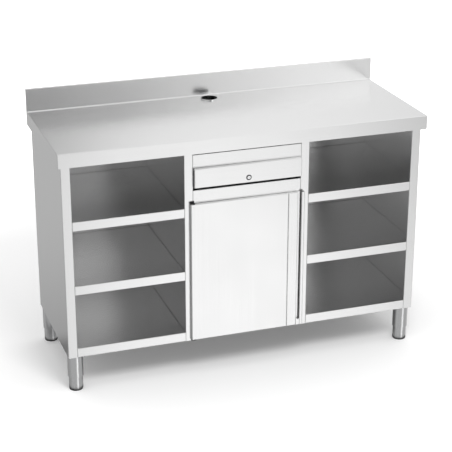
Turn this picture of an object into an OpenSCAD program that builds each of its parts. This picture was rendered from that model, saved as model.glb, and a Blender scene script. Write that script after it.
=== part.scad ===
// Stainless steel back-bar cabinet for a coffee station.
// Origin: middle of the footprint, on the floor. X to the right, Y to the back, Z up. Millimetres.

/* [Worktop] */
// Width of the worktop
worktop_w = 1600; // [1300:10:2400]
// Depth of the worktop, front edge to back of the upstand
worktop_d = 605; // [560:5:700]
// Height of the working surface above the floor
worktop_h = 1066; // [1000:1:1150]
// Height of the upstand above the working surface
upstand_h = 100; // [50:5:150]
// Thickness of the upstand
upstand_t = 15; // [12:1:30]
// Height of the folded apron
apron_h = 60; // [52:1:80]
// Width of the return under the apron
apron_return = 12; // [6:1:14]
// Thickness of the worktop sheet
top_sheet = 1.5; // [1:0.1:2]
// Radius of the worktop's outer edges
edge_r = 2; // [2:0.5:5]
// Radius of the cove at the foot of the upstand
cove_r = 4; // [3:1:12]
// Thickness of the board under the worktop sheet
board_t = 18; // [12:1:22]
// Depth of the hat-section stiffeners under the board
stiffener_h = 28; // [20:1:32]
// Width over the top face of a stiffener
stiffener_w = 50; // [40:5:70]
// Width of a stiffener's brims
stiffener_brim = 15; // [10:1:25]
// Distance from the front of the carcass to the middle of the front stiffener
stiffener_inset = 50; // [40:1:90]
// Distance from the cable hole to the brim of the back stiffener
stiffener_setback = 65; // [10:1:120]

/* [Cable hole] */
// Clear diameter of the cable hole
cable_hole_d = 70; // [50:5:80]
// Distance from the centre of the cable hole to the back edge of the worktop
cable_hole_setback = 73; // [70:1:90]
// Height of the raised lip round the cable hole
grommet_lip_h = 5; // [3:0.5:8]
// Wall of the ring in the cable hole
grommet_wall = 2; // [1.5:0.5:3]
// Width of the flange that holds the ring under the sheet
grommet_flange = 3; // [2:0.5:5]
// Thickness of the flange of the ring
grommet_flange_t = 1; // [0.5:0.1:2]

/* [Carcass] */
// Overhang of the worktop past the front of the carcass
overhang_front = 27; // [20:1:40]
// Overhang of the worktop past each side of the carcass
overhang_side = 15; // [13:1:30]
// Overhang of the worktop past the back of the carcass
overhang_back = 17; // [15:1:30]
// Thickness of the carcass sheet
sheet = 1.2; // [0.8:0.1:1.5]
// Inside radius of the bends
bend_r = 1; // [0.6:0.1:2]
// Width of the front strip of a side panel
side_strip_w = 40; // [30:1:50]
// Width of the front strip of a divider
divider_strip_w = 38; // [30:1:50]
// Depth of the return behind a front strip
strip_return = 12; // [8:1:16]
// Width of the flanges at the back, top and bottom of the uprights
flange_w = 20; // [15:1:25]
// Width over the two dividers
centre_w = 549; // [480:1:640]
// Height of the front edge of the floors and shelves
shelf_front_h = 40; // [30:1:50]
// Depth of the folded edge at the other sides of the floors and shelves
shelf_edge_h = 20; // [12:1:24]
// Diameter of the rivets in the back panel
rivet_d = 3.2; // [2.4:0.1:4]
// Distance from the ends of an upright to its first rivets
rivet_end = 40; // [25:1:80]

/* [Drawer and rails] */
// Height of the rail between drawer and door
rail_h = 76; // [60:1:90]
// Height of the finger slit between the rail and the drawer front
slit_h = 15; // [12:1:20]
// Height of the drawer front
drawer_front_h = 82; // [76:1:100]
// Overlap of the drawer front on the fascia above it
fascia_overlap = 12; // [8:1:14]
// Height of the fascia above the drawer
fascia_h = 69; // [60:1:80]
// Gap between the apron and the top of the fascia
fascia_gap = 12; // [8:1:16]
// Thickness of the drawer front and the door
front_t = 15; // [14:1:20]
// Gap between the door or the drawer front and the frame behind it
front_gap = 2.5; // [2.4:0.1:3]
// Gap at each side of the drawer front
drawer_side_gap = 1.5; // [1:0.5:3]
// Width of the returns behind the drawer front
drawer_lip = 22; // [14:1:26]
// Height of the drawer box
drawer_box_h = 60; // [50:1:62]
// Distance from the lower edge of the drawer front to the bottom of the drawer box
drawer_box_lift = 3; // [2:0.5:5]
// Height of the hem along the top of the drawer box
drawer_hem = 10; // [6:1:15]
// Diameter of the screws between the drawer box and its front
drawer_screw_d = 4; // [3:0.5:5]
// Length of the drawer box and the runners
drawer_l = 450; // [350:10:480]
// Height of a runner
runner_h = 45; // [35:1:45]
// Thickness of a runner
runner_t = 12.7; // [12.7:0.1:14]
// Distance from the middle of the drawer box down to the middle of the runners
runner_drop = 3; // [0:0.5:4]
// Distance from the front of the carcass to the runners
runner_setback = 2; // [1:0.5:6]
// Width of the brims of the runner supports
support_brim = 18; // [12:1:25]

/* [Lock] */
// Diameter of the lock's collar
lock_collar_d = 24; // [20:1:28]
// Height of the lock's collar
lock_collar_h = 2; // [1:0.5:4]
// Diameter of the lock's barrel
lock_barrel_d = 18; // [16:1:19]
// Diameter of the key plug
lock_plug_d = 14; // [10:1:14]
// Width of the keyway
keyway_w = 2; // [1.2:0.1:3]
// Height of the keyway
keyway_h = 8; // [6:0.5:9]
// Length of the cam, centre to tip
cam_l = 56; // [54:1:60]
// Width of the cam
cam_w = 16; // [14:1:18]
// Thickness of the cam
cam_t = 2; // [1.5:0.5:3]
// Height of the lock's centre above the lower edge of the drawer front
lock_height = 22; // [18:1:26]

/* [Door] */
// Overlap of the door on the divider's strip at each side
door_side_overlap = 14.5; // [12:0.5:18]
// Overlap of the door on the rail above it
door_top_overlap = 20; // [12:1:30]
// Distance from the lower edge of the carcass to the lower edge of the door
door_lift = 9; // [8.5:0.5:10]
// Width of the returns behind the door
door_lip = 12; // [10:1:20]
// Width of the handle profile at the right edge of the door
handle_w = 73; // [60:1:90]
// Width of the lip of the handle, which the fingers pull
handle_lip_w = 14; // [12:1:20]
// Width of the mouth of the handle
handle_mouth_w = 16; // [10:1:20]
// Depth of the hem behind the lip of the handle
handle_hem = 6; // [4:0.5:7]
// Depth of the folds where the handle profile meets the door's skin
handle_return = 10; // [6:0.5:11]
// Height of the closed foot of the handle channel
handle_plug_h = 27; // [15:1:60]
// Distance from the left edge of the door to its pivot
pivot_inset = 6; // [5.5:0.1:6.2]
// Distance from the back face of the door to its pivot
pivot_depth = 8; // [7.5:0.1:9]
// Diameter of the pivot pins
pivot_d = 5; // [4:0.5:5]
// Thickness of the hinge brackets
hinge_t = 3; // [2:0.5:3]
// Width of the hinge brackets
hinge_w = 18; // [14:1:30]
// Length of the sleeve of a hinge bush
bush_h = 12; // [8:1:20]
// Distance from the top of the door to the foot of the catch
catch_drop = 90; // [60:5:300]

/* [Legs] */
// Height of the carcass above the floor
leg_h = 160; // [140:1:180]
// Distance from the end of the worktop to a leg's centre
leg_inset_x = 50; // [48:1:80]
// Distance from the front edge of the worktop to a front leg's centre
leg_inset_front = 63.5; // [62:0.5:90]
// Distance from the back edge of the worktop to a back leg's centre
leg_inset_back = 51; // [50:0.5:90]
// Diameter of a leg sleeve
sleeve_d = 66; // [50:1:66]
// Wall of the leg sleeves and the feet
tube_wall = 1.5; // [1.2:0.1:2]
// Wall of the insert between a sleeve and its foot
insert_wall = 1.4; // [1:0.1:4]
// Length of a leg sleeve
sleeve_l = 98; // [85:1:110]
// Height of the part of a foot that is in its sleeve
foot_reach = 33; // [26:1:38]
// Thickness of a foot's pad
pad_t = 5; // [3:1:8]
// Diameter of the screwed spindle of a foot
spindle_d = 12; // [10:1:16]
// Distance from the carcass down to the head of a sleeve's insert
insert_drop = 28; // [24:1:30]
// Distance from the carcass down to the end of a spindle
spindle_drop = 14; // [13:1:18]
// Diameter of the bolts that hold the legs
bolt_d = 10; // [8:1:12]
// Thickness of the plates over the legs
plate_t = 3; // [2:0.5:5]
// Width of the plates over the legs
plate_w = 90; // [75:1:110]

/* [Hidden] */
$fn = 64;

STEEL = "gainsboro";
DARK_STEEL = "dimgray";
BLACK = "black";

// Clearance between fixed pieces, of parts that turn or slide in each other, and of fasteners
seam = 0.3;
running = 0.1;
fastener_fit = 0.05;
// Straight pieces that stand for the arc of one bend
bend_steps = 4;
// How far a cutting solid reaches past what it cuts
over = 1;
// Least radius inside a rounded edge of the worktop sheet
least_r = 0.5;

front_y = -worktop_d / 2;
back_y = worktop_d / 2;
half_w = worktop_w / 2;
apron_z = worktop_h - apron_h;
upstand_y = back_y - upstand_t;
board_z = worktop_h - top_sheet - board_t;
cable_hole_y = back_y - cable_hole_setback;
grommet_d = cable_hole_d + 2 * grommet_wall;

// The carcass: outer faces, and the plane of the front strips
frame_y = front_y + overhang_front;
carcass_x = half_w - overhang_side;
carcass_back = back_y - overhang_back;
carcass_top = board_z - stiffener_h;
flange_back = carcass_back - sheet;
tray_back = flange_back - sheet - seam;
floor_z = leg_h + shelf_front_h;
bay_h = (apron_z - floor_z - 2 * shelf_front_h) / 3;
shelf_pitch = bay_h + shelf_front_h;
divider_x = centre_w / 2;
opening_x = divider_x - divider_strip_w;

// Fronts: the fascia, the drawer front, the finger slit, the rail and the door, from above
front_back_y = frame_y - front_gap;
front_face_y = front_back_y - front_t;
fascia_top = apron_z - fascia_gap;
fascia_z = fascia_top - fascia_h;
drawer_front_top = fascia_z + fascia_overlap;
drawer_front_z = drawer_front_top - drawer_front_h;
drawer_front_x = opening_x - drawer_side_gap;
rail_top = drawer_front_z - slit_h;
rail_z = rail_top - rail_h;
door_top = rail_z + door_top_overlap;
door_z = leg_h + door_lift;
door_right = opening_x + door_side_overlap;
door_left = -door_right;

// The drawer box and its runners
drawer_box_x = opening_x - runner_t;
drawer_box_z = drawer_front_z + drawer_box_lift;
drawer_box_top = drawer_box_z + drawer_box_h;
drawer_back_y = front_back_y + drawer_l;
runner_z = drawer_box_z + drawer_box_h / 2 - runner_drop;
runner_y = frame_y + runner_setback;
screw_hole_d = drawer_screw_d + 2 * fastener_fit;
screw_edge_x = 6;
screw_edge_z = 14;

lock_z = drawer_front_z + lock_height;
lock_face_y = front_face_y - lock_collar_h;
cam_clearance = 3;
cam_y = frame_y + strip_return + cam_clearance;
barrel_end = cam_y - seam;
tail_d = 8;
nut_h = 4;

pivot_x = door_left + pivot_inset;
pivot_y = front_back_y - pivot_depth;
bush_wall = 1.5;
bush_flange = 0.9;
bush_rim = 1;
bush_d = pivot_d + 2 * running + 2 * bush_wall;
bush_flange_d = bush_d + 2 * bush_rim;
hinge_leg_h = 10;
hinge_leg_t = 2;
handle_x = door_right - handle_w;
handle_lip_x = door_right - handle_lip_w;
handle_mouth_x = handle_lip_x - handle_mouth_w;
handle_end_x = door_right - sheet;
catch_w = 14;
catch_h = 44;
catch_t = 16;
catch_z = door_top - catch_drop;
strike_t = 1;
bumper_d = 10;
bumper_inset_x = 8;
bumper_inset_z = 16;

leg_x = half_w - leg_inset_x;
leg_front_y = front_y + leg_inset_front;
leg_back_y = back_y - leg_inset_back;
sleeve_end = leg_h - sleeve_l;
sleeve_bore = sleeve_d - 2 * tube_wall;
insert_d = sleeve_bore - 2 * running;
foot_d = insert_d - 2 * insert_wall - 2 * running;
insert_top = leg_h - insert_drop;
insert_head_h = 14;
sleeve_cap_t = 3;
leg_nut_h = 8;
leg_nut_w = 19;
foot_top = sleeve_end + foot_reach;
foot_end_t = 3;
spindle_top = leg_h - spindle_drop;
pad_d = foot_d - 2 * tube_wall;

rivet_hole_d = rivet_d + 2 * fastener_fit;
rivet_rows = 5;
rivet_pitch = (carcass_top - leg_h - 2 * rivet_end) / (rivet_rows - 1);
rivet_heights = [for (i = [0 : rivet_rows - 1]) leg_h + rivet_end + i * rivet_pitch];
rivet_columns = [carcass_x - flange_w / 2, divider_x - flange_w / 2];

// Helpers for outlines

function unit(v) = v / norm(v);
function left_of(v) = [-v.y, v.x];
function turned(v, a) = [v.x * cos(a) - v.y * sin(a), v.x * sin(a) + v.y * cos(a)];
function turn(a, b, c) = sign((b.x - a.x) * (c.y - b.y) - (b.y - a.y) * (c.x - b.x));
function reversed(p) = [for (i = [len(p) - 1 : -1 : 0]) p[i]];

// The arc that rounds the corner b of the path a, b, c
function corner(a, b, c, r) =
    let (u = unit(a - b), v = unit(c - b), half = acos(u * v) / 2,
         centre = b + unit(u + v) * r / sin(half),
         start = b + u * r / tan(half) - centre,
         sweep = turn(a, b, c) * (180 - 2 * half))
    [for (i = [0 : bend_steps]) centre + turned(start, sweep * i / bend_steps)];

// A path with its inner corners rounded: r_left where it turns left, r_right where it turns right
function rounded_path(p, r_left, r_right) = concat(
    [p[0]],
    [for (i = [1 : len(p) - 2])
        for (q = corner(p[i - 1], p[i], p[i + 1],
                        turn(p[i - 1], p[i], p[i + 1]) > 0 ? r_left : r_right)) q],
    [p[len(p) - 1]]);

// The path shifted to its left by t
function shifted(p, t) = let (n = len(p) - 1)
    [for (i = [0 : n])
        let (before = left_of(unit(p[max(i, 1)] - p[max(i, 1) - 1])),
             after = left_of(unit(p[min(i + 1, n)] - p[min(i + 1, n) - 1])))
        p[i] + (before + after) * t / (1 + before * after)];

// The section of a sheet of thickness t folded along a path, with the metal on the path's left
function fold(p, t = sheet, r = bend_r) = concat(
    rounded_path(p, r + t, r), reversed(rounded_path(shifted(p, t), r, r + t)));

// A closed outline with a radius of its own at each corner, 0 for a sharp one
function rounded_loop(p, radii) = let (n = len(p))
    [for (i = [0 : n - 1])
        for (q = radii[i] == 0 ? [p[i]]
                : corner(p[(i + n - 1) % n], p[i], p[(i + 1) % n], radii[i])) q];

// Extrusions along the axes

// Points are x and y
module along_z(points, z0, z1) {
    translate([0, 0, z0]) linear_extrude(z1 - z0) polygon(points);
}

// Points are y and z
module along_x(points, x0, x1) {
    translate([x0, 0, 0]) rotate([90, 0, 90]) linear_extrude(x1 - x0) polygon(points);
}

// Points are x and z
module along_y(points, y0, y1) {
    translate([0, y1, 0]) rotate([90, 0, 0]) linear_extrude(y1 - y0) polygon(points);
}

// A box from its lowest corner to its highest
module span(a, b) {
    translate(a) cube(b - a);
}

// A cylinder along Y from y0 to y1
module rod_y(x, z, d, y0, y1) {
    translate([x, y1, z]) rotate([90, 0, 0]) cylinder(d = d, h = y1 - y0);
}

// A cylinder along Z from z0 to z1
module rod_z(x, y, d, z0, z1) {
    translate([x, y, z0]) cylinder(d = d, h = z1 - z0);
}

module mirrored() {
    mirror([1, 0, 0]) children();
}

// The children on the left and, mirrored, on the right
module both_sides() {
    children();
    mirrored() children();
}

// Worktop

// Outer form of the worktop and the upstand, or with an inset the hollow inside the sheet
module top_form(inset, low_z) {
    r = max(edge_r - inset, least_r);
    section = rounded_loop([
        [front_y + inset, low_z],
        [front_y + inset, worktop_h - inset],
        [upstand_y + inset, worktop_h - inset],
        [upstand_y + inset, worktop_h + upstand_h - inset],
        [back_y - inset, worktop_h + upstand_h - inset],
        [back_y - inset, low_z]
    ], [0, r, cove_r + inset, r, r, 0]);
    side = half_w - inset;
    difference() {
        along_x(section, -side, side);
        both_sides() {
            along_y(edge_cut([-side, worktop_h - inset], [1, -1], r), front_y, upstand_y);
            along_z(edge_cut([-side, front_y + inset], [1, 1], r), low_z, worktop_h);
        }
    }
}

// The sliver outside a corner p rounded with radius r, where d points into the solid
function edge_cut(p, d, r) = concat(
    [p - d * over / 2],
    corner(p + [d.x * 2 * r, 0], p, p + [0, d.y * 2 * r], r));

module worktop() {
    color(STEEL) difference() {
        union() {
            difference() {
                top_form(0, apron_z);
                top_form(top_sheet, apron_z - over);
            }
            both_sides() {
                span([-half_w + edge_r, front_y + edge_r, apron_z],
                     [-half_w + apron_return, back_y - edge_r, apron_z + top_sheet]);
                span([-half_w + top_sheet / 2, front_y + edge_r + over, apron_z],
                     [-half_w + edge_r + over, back_y - top_sheet / 2, apron_z + top_sheet]);
            }
            span([-half_w + edge_r, front_y + top_sheet / 2, apron_z],
                 [half_w - edge_r, front_y + apron_return, apron_z + top_sheet]);
            span([-half_w + edge_r, back_y - apron_return, apron_z],
                 [half_w - edge_r, back_y - top_sheet / 2, apron_z + top_sheet]);
        }
        rod_z(0, cable_hole_y, grommet_d + 2 * seam, board_z, worktop_h + over);
    }
}

module worktop_board() {
    edge = edge_r + seam;
    color("darkgray") difference() {
        span([-half_w + edge, front_y + edge, board_z], [half_w - edge, back_y - edge, board_z + board_t]);
        rod_z(0, cable_hole_y, grommet_d + 2 * seam, board_z - over, worktop_h);
        rod_z(0, cable_hole_y, grommet_d + 2 * grommet_flange + 2 * seam,
              board_z + board_t - grommet_flange_t - seam, worktop_h);
    }
}

// Ring that stands up through the worktop, with a flange between the sheet and the board
module cable_grommet() {
    inner = cable_hole_d / 2;
    outer = grommet_d / 2;
    flange_top = worktop_h - top_sheet;
    flange_low = flange_top - grommet_flange_t;
    lip = worktop_h + grommet_lip_h;
    lip_r = grommet_wall * 0.4;
    section = rounded_loop([
        [inner, board_z + over], [outer, board_z + over], [outer, flange_low],
        [outer + grommet_flange, flange_low], [outer + grommet_flange, flange_top],
        [outer, flange_top], [outer, lip], [inner, lip]
    ], [0, 0, 0, 0, 0, 0, lip_r, lip_r]);
    color(STEEL) translate([0, cable_hole_y, 0]) rotate_extrude($fn = 96) polygon(section);
}

// Hat section with its crown against the board, centred on y
module stiffener(y) {
    half = stiffener_w / 2;
    end_x = carcass_x - sheet - bend_r;
    crown = board_z - sheet;
    along_x(fold([
        [y - half - stiffener_brim, carcass_top], [y - half, carcass_top], [y - half, crown],
        [y + half, crown], [y + half, carcass_top], [y + half + stiffener_brim, carcass_top]
    ]), -end_x, end_x);
}

module worktop_stiffeners() {
    back = cable_hole_y - grommet_d / 2 - stiffener_setback - stiffener_brim - stiffener_w / 2;
    color(STEEL) {
        stiffener(frame_y + stiffener_inset);
        stiffener(back);
    }
}

// Carcass

// Upright with a front strip, a back flange, a top flange and a bottom flange.
// Its outer face is at x, its flanges point to the right.
module upright(x, strip_w) {
    strip = [[x, frame_y + strip_return], [x, frame_y], [x + strip_w, frame_y],
             [x + strip_w, frame_y + strip_return]];
    inset = sheet + bend_r;
    difference() {
        union() {
            along_z(fold(concat([[x + flange_w, flange_back], [x, flange_back]],
                                [strip[1], strip[2], strip[3]])),
                    leg_h + inset, carcass_top - inset);
            along_z(fold(strip), leg_h, carcass_top);
            along_y(fold([[x, leg_h + 2 * inset], [x, leg_h], [x + flange_w, leg_h]]),
                    strip[0].y, flange_back - inset);
            along_y(fold([[x + flange_w, carcass_top], [x, carcass_top], [x, carcass_top - 2 * inset]]),
                    strip[0].y, flange_back - inset);
        }
        for (z = rivet_heights) {
            rod_y(x + flange_w / 2, z, rivet_hole_d, flange_back - sheet - over, flange_back + over);
        }
    }
}

module side_panel_left() {
    color(STEEL) upright(-carcass_x, side_strip_w);
}

module side_panel_right() {
    color(STEEL) mirrored() upright(-carcass_x, side_strip_w);
}

module divider_left() {
    color(STEEL) upright(-divider_x, divider_strip_w);
}

module divider_right() {
    color(STEEL) mirrored() upright(-divider_x, divider_strip_w);
}

// Where the top and bottom flanges of the back panel run, between the flanges of the uprights
function flange_runs() =
    let (a = carcass_x - flange_w - seam, b = divider_x + seam, c = divider_x - flange_w - seam)
    [[-a, -b], [-c, c], [b, a]];

module back_panel() {
    color(STEEL) difference() {
        union() {
            span([-carcass_x, flange_back, leg_h], [carcass_x, carcass_back, carcass_top]);
            for (run = flange_runs()) {
                along_x(fold([[tray_back - flange_w, leg_h], [carcass_back, leg_h],
                              [carcass_back, leg_h + flange_w]]), run[0], run[1]);
                along_x(fold([[carcass_back, carcass_top - flange_w], [carcass_back, carcass_top],
                              [tray_back - flange_w, carcass_top]]), run[0], run[1]);
            }
        }
        rivets_at() rod_y(0, 0, rivet_hole_d, flange_back - over, carcass_back + over);
    }
}

// The children at each rivet of the back panel
module rivets_at() {
    both_sides() for (x = rivet_columns) for (z = rivet_heights) translate([-x, 0, z]) children();
}

module back_rivets() {
    head_d = 2 * rivet_d;
    head_h = rivet_d / 3;
    color(STEEL) rivets_at() {
        rod_y(0, 0, rivet_d, flange_back - sheet, carcass_back);
        translate([0, carcass_back, 0]) rotate([-90, 0, 0]) {
            cylinder(d1 = head_d, d2 = 0.6 * head_d, h = head_h);
        }
    }
}

// Tray with its top face at z. Its front edge runs between fx0 and fx1, the rest between x0 and x1.
module tray(z, x0, x1, fx0, fx1) {
    notch_y = frame_y + strip_return + seam;
    color(STEEL) difference() {
        union() {
            along_x(fold([[tray_back, z - shelf_edge_h], [tray_back, z], [frame_y, z],
                          [frame_y, z - shelf_front_h], [frame_y + strip_return, z - shelf_front_h]]),
                    fx0, fx1);
            for (side = [[x0, fx0], [fx1, x1]]) {
                if (side[1] - side[0] > sheet) {
                    along_x(fold([[tray_back, z - shelf_edge_h], [tray_back, z], [notch_y, z]]),
                            side[0], side[1]);
                }
            }
            for (x = [x0, x1 - sheet]) {
                span([x, notch_y, z - shelf_edge_h],
                     [x + sheet, tray_back - sheet / 2, z - sheet / 2]);
            }
        }
        for (side = [[x0, 1], [x1, -1]]) {
            along_y(edge_cut([side[0], z], [side[1], -1], bend_r + sheet), notch_y, tray_back + over);
        }
    }
}

// Tray of the left bay
module bay_tray(z) {
    tray(z, -carcass_x + sheet + seam, -divider_x - seam,
         -carcass_x + side_strip_w + seam, -divider_x - seam);
}

module floor_left() {
    bay_tray(floor_z);
}

module floor_right() {
    mirrored() bay_tray(floor_z);
}

module floor_centre() {
    inner = divider_x - sheet - seam;
    tray(floor_z, -inner, inner, -opening_x + seam, opening_x - seam);
}

module shelf_left_lower() {
    bay_tray(floor_z + shelf_pitch);
}

module shelf_left_upper() {
    bay_tray(floor_z + 2 * shelf_pitch);
}

module shelf_right_lower() {
    mirrored() shelf_left_lower();
}

module shelf_right_upper() {
    mirrored() shelf_left_upper();
}

// Channel across the middle opening, with an end tab against each divider's strip
module cross_channel(z0, z1) {
    end = opening_x - seam;
    color(STEEL) {
        along_x(fold([[frame_y + strip_return, z1], [frame_y, z1], [frame_y, z0],
                      [frame_y + strip_return, z0]]), -end, end);
        both_sides() {
            span([-end, frame_y + sheet / 2, z0 + sheet / 2],
                 [-end + sheet, frame_y + strip_return, z1 - sheet / 2]);
        }
    }
}

module drawer_fascia() {
    cross_channel(fascia_z, fascia_top);
}

module drawer_rail() {
    cross_channel(rail_z, rail_top);
}

// Runners

// Hat section on the left divider; its crown carries the left runner
module runner_support() {
    wall = -divider_x + sheet;
    crown = -opening_x - sheet;
    half = runner_h / 2 + sheet + bend_r;
    edge = half + support_brim;
    along_y(fold([
        [wall, runner_z + edge], [wall, runner_z + half], [crown, runner_z + half],
        [crown, runner_z - half], [wall, runner_z - half], [wall, runner_z - edge]
    ]), frame_y + strip_return + seam, runner_y + drawer_l);
}

module runner_supports() {
    color(STEEL) both_sides() runner_support();
}

// One member of a left runner: a channel between u0 and u1 from the divider's side.
// It opens to the right, or to the left where flipped.
module runner_member(half, u0, u1, flipped) {
    web = -opening_x + (flipped ? u1 : u0);
    tip = -opening_x + (flipped ? u0 : u1);
    path = [[tip, half], [web, half], [web, -half], [tip, -half]];
    translate([0, 0, runner_z]) {
        along_y(fold(flipped ? reversed(path) : path), runner_y, runner_y + drawer_l);
    }
}

outer_half = runner_h / 2;
mid_half = outer_half - sheet - running;
inner_half = mid_half - sheet - running;
mid_web = sheet + 2 * seam;
inner_tip = mid_web + sheet + bend_r + 2 * seam;

module runner_outer_left() {
    color(STEEL) runner_member(outer_half, 0, 0.75 * runner_t, false);
}

module runner_outer_right() {
    mirrored() runner_outer_left();
}

module runner_mid_left() {
    color(STEEL) runner_member(mid_half, mid_web, runner_t - sheet - 2 * seam, false);
}

module runner_mid_right() {
    mirrored() runner_mid_left();
}

module runner_inner_left() {
    color(STEEL) runner_member(inner_half, inner_tip, runner_t, true);
}

module runner_inner_right() {
    mirrored() runner_inner_left();
}

// Pans, folded fronts with their face towards the front

// Block with rounded front edges; the inner one has the sheet taken off
module front_block(x0, x1, z0, z1, y0, y1, r) {
    intersection() {
        along_z(rounded_loop([[x0, y0], [x1, y0], [x1, y1], [x0, y1]], [r, r, 0, 0]), z0, z1);
        along_x(rounded_loop([[y0, z0], [y1, z0], [y1, z1], [y0, z1]], [r, 0, 0, r]), x0, x1);
    }
}

// Pan with returns of width lip behind it, all round
module front_pan(x0, x1, z0, z1, lip) {
    difference() {
        front_block(x0, x1, z0, z1, front_face_y, front_back_y, bend_r + sheet);
        front_block(x0 + sheet, x1 - sheet, z0 + sheet, z1 - sheet,
                    front_face_y + sheet, front_back_y - sheet, bend_r);
        span([x0 + lip, front_back_y - sheet - over, z0 + lip],
             [x1 - lip, front_back_y + over, z1 - lip]);
    }
}

// Drawer

screw_x = drawer_box_x - screw_edge_x;
screw_heights = [drawer_box_z + screw_edge_z, drawer_box_top - screw_edge_z];

module drawer_screw_rods(d, y0, y1) {
    both_sides() for (z = screw_heights) rod_y(-screw_x, z, d, y0, y1);
}

module drawer_front() {
    color(STEEL) difference() {
        front_pan(-drawer_front_x, drawer_front_x, drawer_front_z, drawer_front_top, drawer_lip);
        rod_y(0, lock_z, lock_barrel_d + 2 * running, front_face_y - over, front_back_y + over);
        drawer_screw_rods(screw_hole_d, front_back_y - sheet - over, front_back_y + over);
    }
}

// Walls of the drawer box, with a closed hem along the top of the sides and the back
module drawer_box() {
    x = drawer_box_x;
    low = drawer_box_z + sheet;
    hem_z = drawer_box_top - drawer_hem;
    hem_t = 2 * sheet;
    front_wall = front_back_y + sheet;
    color(STEEL) difference() {
        span([-x, front_back_y, low], [x, drawer_back_y, drawer_box_top]);
        span([-x + sheet, front_wall, low - over], [x - sheet, drawer_back_y - sheet, hem_z]);
        span([-x + hem_t, front_wall, hem_z - over],
             [x - hem_t, drawer_back_y - hem_t, drawer_box_top + over]);
        rod_y(0, lock_z, lock_barrel_d + 2 * running, front_back_y - over, front_wall + over);
        drawer_screw_rods(screw_hole_d, front_back_y - over, front_wall + over);
    }
}

module drawer_bottom() {
    color(STEEL) span([-drawer_box_x, front_back_y, drawer_box_z],
                      [drawer_box_x, drawer_back_y, drawer_box_z + sheet]);
}

module drawer_screws() {
    tip_y = front_back_y - sheet - drawer_screw_d;
    head_y = front_back_y + sheet;
    color(STEEL) {
        drawer_screw_rods(drawer_screw_d, tip_y, head_y + over);
        drawer_screw_rods(2 * drawer_screw_d, head_y, head_y + 0.55 * drawer_screw_d);
    }
}

// Lock

module lock_barrel() {
    color("silver") difference() {
        union() {
            translate([0, front_face_y, lock_z]) rotate([90, 0, 0]) {
                cylinder(d1 = lock_collar_d, d2 = lock_collar_d - lock_collar_h, h = lock_collar_h);
            }
            rod_y(0, lock_z, lock_barrel_d, front_face_y - over, barrel_end);
        }
        rod_y(0, lock_z, lock_plug_d + 2 * running, lock_face_y - over, barrel_end + over);
    }
}

module lock_nut() {
    nut_y = front_back_y + sheet;
    color("silver") difference() {
        hex_nut(lock_barrel_d + 2 * nut_h, nut_y);
        rod_y(0, lock_z, lock_barrel_d + 2 * running, nut_y - over, nut_y + nut_h + over);
    }
}

// Hexagonal blank on the lock's axis, from y towards the back
module hex_nut(d, y) {
    translate([0, y + nut_h, lock_z]) rotate([90, 0, 0]) cylinder(d = d, h = nut_h, $fn = 6);
}

module lock_plug() {
    face_inset = 0.4;
    keyway_depth = 14;
    color("silver") difference() {
        union() {
            rod_y(0, lock_z, lock_plug_d, lock_face_y + face_inset, cam_y);
            rod_y(0, lock_z, tail_d, cam_y - over, cam_y + cam_t + 1.5 * nut_h);
        }
        span([-keyway_w / 2, lock_face_y - over, lock_z - keyway_h / 2],
             [keyway_w / 2, lock_face_y + keyway_depth, lock_z + keyway_h / 2]);
    }
}

module lock_cam() {
    tip = cam_l - cam_w / 2;
    color("silver") difference() {
        union() {
            rod_y(0, lock_z, cam_w, cam_y, cam_y + cam_t);
            rod_y(-tip, lock_z, cam_w, cam_y, cam_y + cam_t);
            span([-tip, cam_y, lock_z - cam_w / 2], [0, cam_y + cam_t, lock_z + cam_w / 2]);
        }
        rod_y(0, lock_z, tail_d + 2 * running, cam_y - over, cam_y + cam_t + over);
    }
}

module cam_nut() {
    y = cam_y + cam_t;
    color("silver") difference() {
        hex_nut(tail_d + 2 * nut_h, y);
        rod_y(0, lock_z, tail_d + 2 * running, y - over, y + nut_h + over);
    }
}

// Door

// Pan whose right wall is a fold beside the one of the handle profile, with the liner behind both
module door_skin() {
    x1 = handle_x - seam / 2;
    color(STEEL) difference() {
        front_pan(door_left, x1, door_z, door_top, door_lip);
        span([x1 - sheet - over, front_face_y + handle_return, door_z + sheet],
             [x1 + over, front_back_y - sheet, door_top - sheet]);
        span([x1 - door_lip - over, front_back_y - sheet - over, door_z + door_lip],
             [x1 + over, front_back_y + over, door_top - door_lip]);
        rod_z(pivot_x, pivot_y, bush_d + 2 * running, door_z - over, door_top + over);
    }
}

module door_liner() {
    y1 = front_back_y - sheet;
    gap = sheet + seam;
    channel_x = handle_mouth_x - sheet;
    color(STEEL) span([door_left + gap, y1 - sheet, door_z + gap], [channel_x - seam, y1, door_top - gap]);
}

// Folded profile, with a cap at each end of the chamber between the door's skin and the mouth
module door_handle() {
    left = handle_x + seam / 2;
    front_in = front_face_y + sheet;
    back_in = front_back_y - sheet;
    color(STEEL) difference() {
        union() {
            along_z(fold([
                [left, front_face_y + handle_return], [left, front_face_y],
                [handle_mouth_x, front_face_y], [handle_mouth_x, back_in], [handle_end_x, back_in],
                [handle_end_x, front_in], [handle_lip_x + sheet, front_in],
                [handle_lip_x + sheet, front_face_y + handle_hem]
            ]), door_z, door_top);
            for (z = [door_z, door_top - sheet]) {
                span([left, front_face_y + sheet / 2, z],
                     [handle_mouth_x - sheet / 2, front_back_y, z + sheet]);
            }
        }
        for (end = [[door_z, 1], [door_top, -1]]) {
            along_x(edge_cut([front_face_y, end[0]], [1, end[1]], bend_r + sheet),
                    left - over, handle_mouth_x);
        }
    }
}

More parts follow.
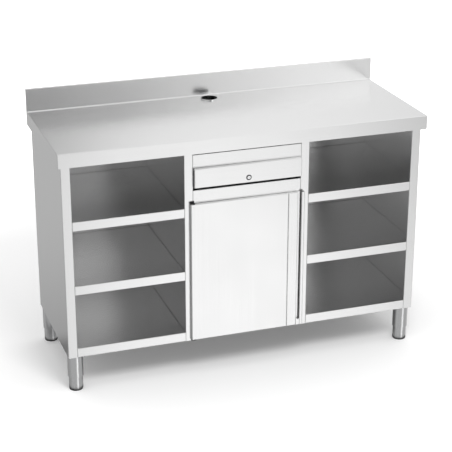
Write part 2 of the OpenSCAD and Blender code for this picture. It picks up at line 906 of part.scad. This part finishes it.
// Block that closes the foot of the handle's channel
module handle_plug() {
    x0 = handle_mouth_x + seam;
    x1 = handle_end_x - seam;
    y0 = front_face_y + seam;
    y1 = front_back_y - sheet - seam;
    behind_lip = front_face_y + handle_hem + seam;
    lip_x = handle_lip_x - seam;
    color(STEEL) along_z(rounded_loop(
        [[x0, y0], [lip_x, y0], [lip_x, behind_lip], [x1, behind_lip], [x1, y1], [x0, y1]],
        [0, 0, 0, 0, bend_r, bend_r]), door_z, door_z + handle_plug_h);
}

module hinge_bushes() {
    color("whitesmoke") {
        bush(door_z - bush_flange, door_z, door_z + bush_h, door_z - bush_flange);
        bush(door_top, door_top + bush_flange, door_top, door_top - bush_h);
    }
}

// Bush on the pivot: a flange from f0 to f1 and a sleeve between s0 and s1
module bush(f0, f1, s0, s1) {
    low = min(s0, s1);
    high = max(s0, s1);
    difference() {
        union() {
            rod_z(pivot_x, pivot_y, bush_flange_d, f0, f1);
            rod_z(pivot_x, pivot_y, bush_d, low, high);
        }
        rod_z(pivot_x, pivot_y, pivot_d + 2 * running, low - over, high + over);
    }
}

module strike_plate() {
    color("silver") span([opening_x - seam - catch_w, front_back_y, catch_z],
                         [opening_x - seam, front_back_y + strike_t, catch_z + catch_h]);
}

module door_bumpers() {
    x = door_right - bumper_inset_x;
    color("whitesmoke") for (z = [door_z + bumper_inset_z, door_top - bumper_inset_z]) {
        rod_y(x, z, bumper_d, front_back_y, frame_y - seam);
    }
}

module door_catch() {
    x1 = opening_x - seam;
    face = front_back_y + strike_t + seam;
    hole_d = 4;
    hole_inset = 6;
    color(BLACK) difference() {
        span([x1 - catch_w, face, catch_z], [x1, face + catch_t, catch_z + catch_h]);
        for (z = [catch_z + hole_inset, catch_z + catch_h - hole_inset]) {
            rod_y(x1 - catch_w / 2, z, hole_d, face - over, face + catch_t + over);
        }
    }
}

// Bracket with a pin, level with the frame. The plate's top or bottom face is at plate_z; dir is 1
// where the bracket lies above the door and -1 where it lies below.
module hinge_bracket(plate_z, leg_end, dir) {
    far_z = plate_z + dir * hinge_t;
    pin_z = plate_z - dir * (bush_h - over);
    reach = pivot_y - pivot_d;
    right = door_left + hinge_w;
    color(DARK_STEEL) {
        span([door_left, reach, min(plate_z, far_z)], [right, frame_y, max(plate_z, far_z)]);
        span([door_left, frame_y - hinge_leg_t, min(plate_z, leg_end)],
             [right, frame_y, max(plate_z, leg_end)]);
        rod_z(pivot_x, pivot_y, pivot_d, min(pin_z, far_z), max(pin_z, far_z));
    }
}

module hinge_bracket_top() {
    plate_z = door_top + bush_flange + running;
    hinge_bracket(plate_z, plate_z + hinge_leg_h, 1);
}

module hinge_bracket_bottom() {
    hinge_bracket(door_z - bush_flange - running, leg_h + seam, -1);
}

// Legs

// The children at each leg's centre
module at_legs() {
    for (x = [-leg_x, leg_x]) for (y = [leg_front_y, leg_back_y]) translate([x, y, 0]) children();
}

module leg_sleeve(x, y) {
    nut_z = leg_h - sleeve_cap_t - leg_nut_h;
    color("silver") translate([x, y, 0]) difference() {
        union() {
            difference() {
                rod_z(0, 0, sleeve_d, sleeve_end, leg_h);
                rod_z(0, 0, sleeve_bore, sleeve_end - over, leg_h - sleeve_cap_t);
            }
            rod_z(0, 0, leg_nut_w, nut_z, leg_h - sleeve_cap_t / 2);
        }
        rod_z(0, 0, bolt_d + 2 * running, nut_z - over, leg_h + over);
    }
}

module leg_sleeve_front_left() {
    leg_sleeve(-leg_x, leg_front_y);
}

module leg_sleeve_front_right() {
    leg_sleeve(leg_x, leg_front_y);
}

module leg_sleeve_back_left() {
    leg_sleeve(-leg_x, leg_back_y);
}

module leg_sleeve_back_right() {
    leg_sleeve(leg_x, leg_back_y);
}

// Nylon liner of each sleeve, with the thread for the spindle in its head
module leg_inserts() {
    color("white") at_legs() difference() {
        rod_z(0, 0, insert_d, sleeve_end, insert_top);
        rod_z(0, 0, foot_d + 2 * running, sleeve_end - over, insert_top - insert_head_h);
        rod_z(0, 0, spindle_d + 2 * running, insert_top - insert_head_h - over, insert_top + over);
    }
}

// Plates over the corners of the carcass, on its bottom flanges
module leg_plates() {
    x0 = carcass_x - sheet - bend_r - seam - plate_w;
    y_front = frame_y + strip_return + seam;
    color(STEEL) both_sides() for (y = [y_front, tray_back - plate_w - seam]) difference() {
        span([-x0 - plate_w, y, leg_h + sheet], [-x0, y + plate_w, leg_h + sheet + plate_t]);
        at_legs() rod_z(0, 0, bolt_d + 2 * running, leg_h, leg_h + sheet + plate_t + over);
    }
}

module leg_bolts() {
    seat = leg_h + sheet + plate_t;
    color("silver") at_legs() {
        rod_z(0, 0, bolt_d, leg_h - sleeve_cap_t - leg_nut_h, seat + over);
        translate([0, 0, seat]) cylinder(d = 1.85 * bolt_d, h = 0.64 * bolt_d, $fn = 6);
    }
}

module foot(x, y) {
    color("silver") translate([x, y, 0]) {
        difference() {
            rod_z(0, 0, foot_d, pad_t, foot_top);
            rod_z(0, 0, foot_d - 2 * tube_wall, pad_t + foot_end_t, foot_top - foot_end_t);
        }
        rod_z(0, 0, spindle_d, foot_top - over, spindle_top);
    }
}

module pad(x, y) {
    color(BLACK) translate([x, y, 0]) {
        rod_z(0, 0, pad_d, 0, pad_t);
    }
}

module foot_front_left() {
    foot(-leg_x, leg_front_y);
}

module foot_front_right() {
    foot(leg_x, leg_front_y);
}

module foot_back_left() {
    foot(-leg_x, leg_back_y);
}

module foot_back_right() {
    foot(leg_x, leg_back_y);
}

module pad_front_left() {
    pad(-leg_x, leg_front_y);
}

module pad_front_right() {
    pad(leg_x, leg_front_y);
}

module pad_back_left() {
    pad(-leg_x, leg_back_y);
}

module pad_back_right() {
    pad(leg_x, leg_back_y);
}

worktop();
worktop_board();
cable_grommet();
worktop_stiffeners();
side_panel_left();
side_panel_right();
divider_left();
divider_right();
back_panel();
floor_left();
floor_centre();
floor_right();
shelf_left_lower();
shelf_left_upper();
shelf_right_lower();
shelf_right_upper();
drawer_fascia();
drawer_rail();
runner_supports();
runner_outer_left();
runner_outer_right();
hinge_bracket_top();
hinge_bracket_bottom();
door_catch();
leg_plates();
leg_bolts();
leg_inserts();
back_rivets();
leg_sleeve_front_left();
leg_sleeve_front_right();
leg_sleeve_back_left();
leg_sleeve_back_right();
runner_mid_left();
runner_mid_right();
drawer_front();
drawer_box();
drawer_bottom();
runner_inner_left();
runner_inner_right();
lock_barrel();
lock_nut();
drawer_screws();
lock_plug();
lock_cam();
cam_nut();
door_skin();
door_liner();
door_handle();
handle_plug();
hinge_bushes();
strike_plate();
door_bumpers();
foot_front_left();
foot_front_right();
foot_back_left();
foot_back_right();
pad_front_left();
pad_front_right();
pad_back_left();
pad_back_right();
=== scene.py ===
import bpy
from mathutils import Matrix, Vector


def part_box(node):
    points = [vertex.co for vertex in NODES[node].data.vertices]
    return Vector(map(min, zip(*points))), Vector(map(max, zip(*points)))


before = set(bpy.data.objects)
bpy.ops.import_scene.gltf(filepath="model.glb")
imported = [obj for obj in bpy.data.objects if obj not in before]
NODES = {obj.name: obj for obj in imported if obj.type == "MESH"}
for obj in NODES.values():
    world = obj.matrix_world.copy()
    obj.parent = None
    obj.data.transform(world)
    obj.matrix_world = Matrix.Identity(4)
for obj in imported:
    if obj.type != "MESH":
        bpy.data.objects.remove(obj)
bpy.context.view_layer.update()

# The feet: the middle between front and back ones, their farthest reach from it along X and Y, their radius
front_foot_low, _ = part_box("foot_front_left")
back_foot_low, back_foot_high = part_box("foot_back_right")
FEET_Y = (front_foot_low[1] + back_foot_high[1]) / 2
FOOT_X, FOOT_Y = back_foot_high[0], back_foot_high[1] - FEET_Y
FOOT_RADIUS = (back_foot_high[0] - back_foot_low[0]) / 2

# Camera, fitted to the photograph's straight edges
CAMERA_PLACE = Vector((-1.8508, -5.4106, 2.8492))
CAMERA_FORWARD = Vector((0.30032, 0.87782, -0.37316))
CAMERA_RIGHT = Vector((0.94629, -0.32331, 0.00103))
CAMERA_LENS = 111.70
SENSOR_W = 36.0

# Floor. The camera sees it white with the cabinet's shadow, going over into a white backdrop
# between two distances from the middle.
FLOOR_SIZE = 60.0
FLOOR_WHITE = 0.9
FLOOR_GLOW = 0.10
FLOOR_FADE = (1.6, 3.5)

# Plain light for matt surfaces, and what metal hands on to them
AMBIENT = 1.0
PASSED_ON = 0.05
SOFTBOX_PLACE = (-0.1, -2.5, 3.3)
SOFTBOX_TARGET = (0.0, 0.0, 0.2)
SOFTBOX_SIZE = 1.1
SOFTBOX_POWER = 55.0

# The studio that metal mirrors, in four quarters round the cabinet. Each has its level at the left, and
# changes of it to the right: (from, to, amount), between two values of the direction's x.
FRONT_LOW = (0.51, ((0.135, 0.215, 1.04), (0.372, 0.465, -1.07)))
FRONT_HIGH = (0.56, ((-0.60, 0.0, -0.35), (0.245, 0.33, 1.32), (0.44, 0.58, -0.7)))
BACK_LOW = (0.51, ((-0.1, 0.2, 0.25),))
BACK_HIGH = (0.43, ((0.17, 0.25, 0.55), (0.33, 0.50, -0.19)))
# Factors on the two low quarters, with changes between two values of the direction's z, upwards
FRONT_DIM = (0.86, ((-0.46, -0.39, 0.14), (-0.37, -0.30, -0.30)))
BACK_DIM = (0.5, ((-0.50, -0.36, 0.5),))
# Half the widths of the bands in which low goes over into high, and front into back
HORIZON_BAND = 0.12
SIDE_BAND = 0.3
# A bright panel overhead, which the bends along the edges pick up: from z, to z, and its level
OVERHEAD = (0.55, 0.75, 1.0)

# Metal mirrors the cabinet's shadow on the floor too: its level under the middle and under the back,
# the width of its edge, how far that edge reaches past the feet, and by how much per metre it widens
# behind the middle
SHADOW_LEVEL = 0.25
SHADOW_BACK_LEVEL = 0.6
SHADOW_EDGE = 0.14
SHADOW_REACH = 0.02
SHADOW_SPREAD = 1.7
# The floor is darkest against a foot: the factor there, and between which distances from the foot it ends
CONTACT_LEVEL = 0.08
CONTACT_REACH = (0.013, 0.029)

# Metals, in linear light
STEEL_GREY = (0.815, 0.815, 0.815)
STEEL_ROUGHNESS = 0.25
TUBE_GREY = (0.80, 0.805, 0.81)
TUBE_ROUGHNESS = 0.26
POLISHED_GREY = (0.88, 0.885, 0.89)
POLISHED_ROUGHNESS = 0.14
ZINC_GREY = (0.6, 0.62, 0.64)
ZINC_ROUGHNESS = 0.35
CHROME_GREY = (0.7, 0.7, 0.71)
CHROME_ROUGHNESS = 0.08
# Near black: on the hinge brackets, and on the lock barrel as painted shade for the dark edge of its bevel
NEAR_BLACK_GREY = (0.08, 0.08, 0.085)
FOIL_DARK = (0.88, 0.88, 0.885, 1.0)
FOIL_LIGHT = (0.91, 0.91, 0.915, 1.0)
FOIL_ROUGHNESS = 0.28

# Brushing: lines per metre across the grain and along it, their depth in metres on each finish,
# and how strongly the depth shows
LINES_ACROSS = 900.0
LINES_ALONG = 1.5
BRUSHED_DEPTH = 0.000012
POLISHED_DEPTH = 0.000004
CHROME_DEPTH = 0.000002
BRUSHED_STRENGTH = 0.12
# Wipe marks, and how much they and the lines shift tone and roughness
WIPE_SCALE = 4.0
WIPE_TONE = 0.008
WIPE_ROUGHNESS = 0.01
LINE_ROUGHNESS = 0.015

# Moulded skin: pebbles and larger patches per metre, depth in metres, and shifts by the patches
PEBBLE_SCALE = 1500.0
PEBBLE_DEPTH = 0.00004
PEBBLE_STRENGTH = 0.4
PATCH_SCALE = 40.0
PATCH_TONE = 0.006
PATCH_ROUGHNESS = 0.05

# Chips under the foil, flattened along Z
CHIP_STRETCH = (1.0, 1.0, 3.0)
CHIP_SCALE = 350.0
CHIP_DEPTH = 0.00003
CHIP_STRENGTH = 0.2

# Noise stays between about these values, which are mapped to a shift's two ends
NOISE_RANGE = (0.3, 0.7)
EVEN = (1.0, 1.0, 1.0)
WHITE = (1.0, 1.0, 1.0, 1.0)


# Helpers for node trees

class Tree:
    """A node tree with short calls for adding and joining nodes."""

    def __init__(self, tree):
        self.tree = tree
        self.nodes = tree.nodes
        self.nodes.clear()

    def add(self, kind, inputs=None, **settings):
        node = self.nodes.new(kind)
        for key, value in settings.items():
            setattr(node, key, value)
        for key, value in (inputs or {}).items():
            self.put(value, node.inputs[key])
        return node

    def put(self, value, socket):
        if isinstance(value, bpy.types.NodeSocket):
            self.tree.links.new(value, socket)
        else:
            socket.default_value = value

    def math(self, operation, *values):
        node = self.add("ShaderNodeMath", operation=operation)
        for i, value in enumerate(values):
            self.put(value, node.inputs[i])
        return node.outputs[0]

    def spread(self, value, low, high, to_low, to_high, **settings):
        """value mapped from low..high to to_low..to_high, and held there outside."""
        node = self.add("ShaderNodeMapRange", {"Value": value, "From Min": low, "From Max": high,
                                               "To Min": to_low, "To Max": to_high}, **settings)
        return node.outputs["Result"]

    def smooth(self, value, low, high, to_low, to_high):
        """The same with a soft start and end."""
        return self.spread(value, low, high, to_low, to_high, interpolation_type="SMOOTHSTEP")

    def shift(self, noise, middle, amount):
        """A value that noise moves about its middle, by up to the amount."""
        return self.spread(noise, *NOISE_RANGE, middle - amount, middle + amount)

    def choose(self, switch, on, off):
        """on where switch is 1, off where it is 0."""
        node = self.add("ShaderNodeMix", data_type="FLOAT")
        self.put(switch, node.inputs[0])
        self.put(off, node.inputs[2])
        self.put(on, node.inputs[3])
        return node.outputs[0]

    def noise(self, vector, scale, detail=2.0, roughness=0.5):
        node = self.add("ShaderNodeTexNoise", {"Vector": vector, "Scale": scale, "Detail": detail,
                                               "Roughness": roughness})
        return node.outputs["Fac"]

    def mix(self, factor, first, second):
        node = self.add("ShaderNodeMix", data_type="RGBA")
        self.put(factor, node.inputs[0])
        self.put(first, node.inputs[6])
        self.put(second, node.inputs[7])
        return node.outputs[2]

    def place(self, scale):
        """The point in the object's own frame, with its axes scaled."""
        point = self.add("ShaderNodeTexCoord").outputs["Object"]
        return self.add("ShaderNodeMapping", {"Vector": point, "Scale": scale}).outputs["Vector"]

    def bump(self, height, strength, depth):
        node = self.add("ShaderNodeBump", {"Height": height, "Strength": strength, "Distance": depth})
        return node.outputs["Normal"]

    def length(self, x, y):
        return self.math("SQRT", self.math("ADD", self.math("MULTIPLY", x, x), self.math("MULTIPLY", y, y)))


def new_material(name):
    material = bpy.data.materials.new(name)
    material.use_nodes = True
    return material, Tree(material.node_tree)


def finish_material(tree, shader):
    tree.add("ShaderNodeOutputMaterial", {"Surface": shader.outputs[0]})


def tone_shift(tone, shift):
    """A tone with its channels shifted, as RGBA."""
    return tuple(max(0.0, c + shift) for c in tone) + (1.0,)


# Materials

GRAIN = {
    "x": (LINES_ALONG, LINES_ACROSS, LINES_ACROSS),
    "y": (LINES_ACROSS, LINES_ALONG, LINES_ACROSS),
    "z": (LINES_ACROSS, LINES_ACROSS, LINES_ALONG),
}


def brushed_metal(name, tone, roughness, grain, depth=BRUSHED_DEPTH):
    """Metal brushed along an axis, with faint cloudy wipe marks."""
    material, tree = new_material(name)
    lines = tree.noise(tree.place(GRAIN[grain]), 1.0, detail=3.0, roughness=0.6)
    clouds = tree.noise(tree.place(EVEN), WIPE_SCALE, detail=3.0, roughness=0.55)
    rough = tree.math("ADD", tree.shift(lines, 0.0, LINE_ROUGHNESS),
                      tree.shift(clouds, roughness, WIPE_ROUGHNESS))
    finish_material(tree, tree.add("ShaderNodeBsdfPrincipled", {
        "Base Color": tree.mix(clouds, tone_shift(tone, -WIPE_TONE), tone_shift(tone, WIPE_TONE)),
        "Metallic": 1.0,
        "Roughness": rough,
        "Normal": tree.bump(lines, BRUSHED_STRENGTH, depth)}))
    return material


def moulded(name, tone, roughness, metallic=0.0):
    """Plastic, rubber or near-black metal with a fine pebbled skin; on the lock barrel the near black is
    painted shade.
    """
    material, tree = new_material(name)
    pebbles = tree.noise(tree.place(EVEN), PEBBLE_SCALE)
    patches = tree.noise(tree.place(EVEN), PATCH_SCALE)
    finish_material(tree, tree.add("ShaderNodeBsdfPrincipled", {
        "Base Color": tree.mix(patches, tone_shift(tone, -PATCH_TONE), tone_shift(tone, PATCH_TONE)),
        "Metallic": metallic,
        "Roughness": tree.shift(patches, roughness, PATCH_ROUGHNESS),
        "Normal": tree.bump(pebbles, PEBBLE_STRENGTH, PEBBLE_DEPTH)}))
    return material


def foil_board(name):
    """Board faced with thin foil that follows the chips under it."""
    material, tree = new_material(name)
    chips = tree.add("ShaderNodeTexVoronoi", {"Vector": tree.place(CHIP_STRETCH), "Scale": CHIP_SCALE})
    distance = chips.outputs["Distance"]
    finish_material(tree, tree.add("ShaderNodeBsdfPrincipled", {
        "Base Color": tree.mix(distance, FOIL_DARK, FOIL_LIGHT),
        "Metallic": 1.0,
        "Roughness": FOIL_ROUGHNESS,
        "Normal": tree.bump(distance, CHIP_STRENGTH, CHIP_DEPTH)}))
    return material


def make_materials():
    return {
        "steel_x": brushed_metal("steel_brushed_x", STEEL_GREY, STEEL_ROUGHNESS, "x"),
        "steel_y": brushed_metal("steel_brushed_y", STEEL_GREY, STEEL_ROUGHNESS, "y"),
        "steel_z": brushed_metal("steel_brushed_z", STEEL_GREY, STEEL_ROUGHNESS, "z"),
        "tube": brushed_metal("steel_tube", TUBE_GREY, TUBE_ROUGHNESS, "z"),
        "polished": brushed_metal("steel_polished", POLISHED_GREY, POLISHED_ROUGHNESS, "x", POLISHED_DEPTH),
        "zinc": brushed_metal("zinc_plate", ZINC_GREY, ZINC_ROUGHNESS, "y"),
        "chrome": brushed_metal("chrome_plate", CHROME_GREY, CHROME_ROUGHNESS, "z", CHROME_DEPTH),
        # The hinge brackets are steel coloured near black
        "dark_steel": moulded("near_black_steel", NEAR_BLACK_GREY, 0.4, metallic=1.0),
        # The lock barrel is coloured near black: painted shade standing in for the dark edge of its bevel
        "lock_ring": moulded("lock_ring_painted_shade", NEAR_BLACK_GREY, 0.35, metallic=1.0),
        "rubber": moulded("black_rubber", (0.012, 0.012, 0.012), 0.75),
        "black_plastic": moulded("black_plastic", (0.02, 0.02, 0.02), 0.4),
        "nylon": moulded("natural_nylon", (0.7, 0.7, 0.66), 0.45),
        "bumper": moulded("soft_clear_bumper", (0.75, 0.77, 0.78), 0.25),
        "board": foil_board("foil_faced_board"),
    }


# Which material each node has. The grain runs along the length of its sheet.
CORNERS = ("front_left", "front_right", "back_left", "back_right")
NODE_MATERIALS = {
    "steel_x": ["worktop", "worktop_stiffeners", "back_panel", "floor_left", "floor_centre", "floor_right",
                "shelf_left_lower", "shelf_left_upper", "shelf_right_lower", "shelf_right_upper",
                "drawer_fascia", "drawer_rail", "drawer_front", "drawer_bottom", "leg_plates"],
    "steel_y": ["drawer_box"],
    "steel_z": ["side_panel_left", "side_panel_right", "divider_left", "divider_right", "door_skin",
                "door_liner", "door_handle", "handle_plug"],
    "tube": [kind + corner for kind in ("leg_sleeve_", "foot_") for corner in CORNERS],
    "polished": ["cable_grommet"],
    "zinc": ["runner_supports", "runner_outer_left", "runner_outer_right", "runner_mid_left",
             "runner_mid_right", "runner_inner_left", "runner_inner_right", "leg_bolts", "back_rivets",
             "drawer_screws", "strike_plate"],
    "chrome": ["lock_nut", "lock_plug", "lock_cam", "cam_nut"],
    "dark_steel": ["hinge_bracket_top", "hinge_bracket_bottom"],
    "lock_ring": ["lock_barrel"],
    "rubber": ["pad_" + corner for corner in CORNERS],
    "black_plastic": ["door_catch"],
    "nylon": ["leg_inserts", "hinge_bushes"],
    "bumper": ["door_bumpers"],
    "board": ["worktop_board"],
}


def dress_nodes():
    materials = make_materials()
    bare = set(NODES)
    for key, names in NODE_MATERIALS.items():
        for name in names:
            slots = NODES[name].data.materials
            slots.clear()
            slots.append(materials[key])
        bare.difference_update(names)
    assert not bare, bare


# Studio

def steps(tree, value, start, changes):
    """start, with each change (from, to, amount) coming in softly as value rises."""
    total = start
    for low, high, amount in changes:
        total = tree.math("ADD", total, tree.smooth(value, low, high, 0.0, amount))
    return total


def past(tree, value, limit):
    """How far value lies past a limit, and 0 before it."""
    return tree.math("MAXIMUM", tree.math("SUBTRACT", value, limit), 0.0)


def mirrored_shadow(tree, point):
    """The level at which metal mirrors the floor: dark under the cabinet and against its feet."""
    place = tree.add("ShaderNodeSeparateXYZ", {0: point}).outputs
    away_x = tree.math("ABSOLUTE", place["X"])
    away_y = tree.math("ABSOLUTE", tree.math("SUBTRACT", place["Y"], FEET_Y))
    inner = SHADOW_REACH - SHADOW_EDGE
    widened = tree.math("MULTIPLY", tree.math("MAXIMUM", place["Y"], 0.0), SHADOW_SPREAD)
    past_x = past(tree, away_x, tree.math("ADD", widened, FOOT_X + inner))
    past_y = past(tree, away_y, FOOT_Y + inner)
    level = tree.smooth(place["Y"], 0.0, FOOT_Y, SHADOW_LEVEL, SHADOW_BACK_LEVEL)
    under = tree.smooth(tree.length(past_x, past_y), 0.0, SHADOW_EDGE, level, 1.0)
    from_axis = tree.length(tree.math("SUBTRACT", away_x, FOOT_X - FOOT_RADIUS),
                            tree.math("SUBTRACT", away_y, FOOT_Y - FOOT_RADIUS))
    near, far = (FOOT_RADIUS + reach for reach in CONTACT_REACH)
    contact = tree.spread(from_axis, near, far, CONTACT_LEVEL, 1.0)
    return tree.math("MULTIPLY", under, contact)


def make_floor():
    """A white floor that fades into the backdrop. To metal it is a clear sheet tinted by the shadow."""
    bpy.ops.mesh.primitive_plane_add(size=FLOOR_SIZE, location=(0, 0, 0))
    floor = bpy.context.object
    floor.name = "studio_floor"
    material, tree = new_material("studio_floor")
    path = tree.add("ShaderNodeLightPath")
    point = tree.add("ShaderNodeTexCoord").outputs["Object"]
    distance = tree.add("ShaderNodeVectorMath", {0: point}, operation="LENGTH").outputs["Value"]
    glow = tree.math("MULTIPLY", path.outputs["Is Camera Ray"],
                     tree.smooth(distance, *FLOOR_FADE, FLOOR_GLOW, 1.0))
    white = tree.add("ShaderNodeBsdfDiffuse", {"Color": (FLOOR_WHITE,) * 3 + (1.0,)})
    light = tree.add("ShaderNodeEmission", {"Color": WHITE, "Strength": glow})
    seen = tree.add("ShaderNodeAddShader", {0: white.outputs[0], 1: light.outputs[0]})
    mirrored = tree.add("ShaderNodeBsdfTransparent", {"Color": mirrored_shadow(tree, point)})
    finish_material(tree, tree.add("ShaderNodeMixShader", {
        0: path.outputs["Is Glossy Ray"], 1: seen.outputs[0], 2: mirrored.outputs[0]}))
    floor.data.materials.append(material)


def mirrored_studio(tree):
    """The level that metal mirrors in each direction."""
    way = tree.add("ShaderNodeTexCoord").outputs["Generated"]
    x, y, z = tree.add("ShaderNodeSeparateXYZ", {0: way}).outputs
    front_low = tree.math("MULTIPLY", steps(tree, x, *FRONT_LOW), steps(tree, z, *FRONT_DIM))
    back_low = tree.math("MULTIPLY", steps(tree, x, *BACK_LOW), steps(tree, z, *BACK_DIM))
    front_high = steps(tree, x, *FRONT_HIGH)
    back_high = steps(tree, x, *BACK_HIGH)
    above = tree.smooth(z, -HORIZON_BAND, HORIZON_BAND, 0.0, 1.0)
    ahead = tree.smooth(y, -SIDE_BAND, SIDE_BAND, 1.0, 0.0)
    around = tree.choose(ahead, tree.choose(above, front_high, front_low),
                         tree.choose(above, back_high, back_low))
    low, high, overhead = OVERHEAD
    return tree.choose(tree.smooth(z, low, high, 0.0, 1.0), overhead, around)


def make_world():
    """White for the camera, the mirrored studio for metal, and a plain level for matt surfaces."""
    world = bpy.data.worlds.new("studio")
    bpy.context.scene.world = world
    world.use_nodes = True
    tree = Tree(world.node_tree)
    path = tree.add("ShaderNodeLightPath").outputs
    passed_on = tree.math("GREATER_THAN", path["Diffuse Depth"], 0.5)
    from_metal = tree.choose(passed_on, PASSED_ON, mirrored_studio(tree))
    unseen = tree.choose(path["Is Glossy Ray"], from_metal, AMBIENT)
    strength = tree.choose(path["Is Camera Ray"], 1.0, unseen)
    sky = tree.add("ShaderNodeBackground", {"Color": WHITE, "Strength": strength})
    tree.add("ShaderNodeOutputWorld", {"Surface": sky.outputs[0]})


def make_softbox():
    """A weak lamp in front, for the floor shadow's direction. Metal doesn't mirror it."""
    data = bpy.data.lights.new("front_softbox", "AREA")
    data.shape = "SQUARE"
    data.size = SOFTBOX_SIZE
    data.energy = SOFTBOX_POWER
    lamp = bpy.data.objects.new("front_softbox", data)
    bpy.context.scene.collection.objects.link(lamp)
    lamp.location = SOFTBOX_PLACE
    lamp.visible_glossy = False
    lamp.rotation_mode = "QUATERNION"
    lamp.rotation_quaternion = (Vector(SOFTBOX_TARGET) - Vector(SOFTBOX_PLACE)).to_track_quat("-Z", "Y")


def make_camera():
    data = bpy.data.cameras.new("camera")
    data.lens = CAMERA_LENS
    data.sensor_width = SENSOR_W
    camera = bpy.data.objects.new("camera", data)
    bpy.context.scene.collection.objects.link(camera)
    forward = CAMERA_FORWARD.normalized()
    right = (CAMERA_RIGHT - forward * CAMERA_RIGHT.dot(forward)).normalized()
    up = right.cross(forward)
    turn = Matrix((right, up, -forward)).transposed()
    camera.matrix_world = Matrix.Translation(CAMERA_PLACE) @ turn.to_4x4()
    bpy.context.scene.camera = camera


dress_nodes()
make_floor()
make_world()
make_softbox()
make_camera()
bpy.context.scene.view_settings.view_transform = "Standard"
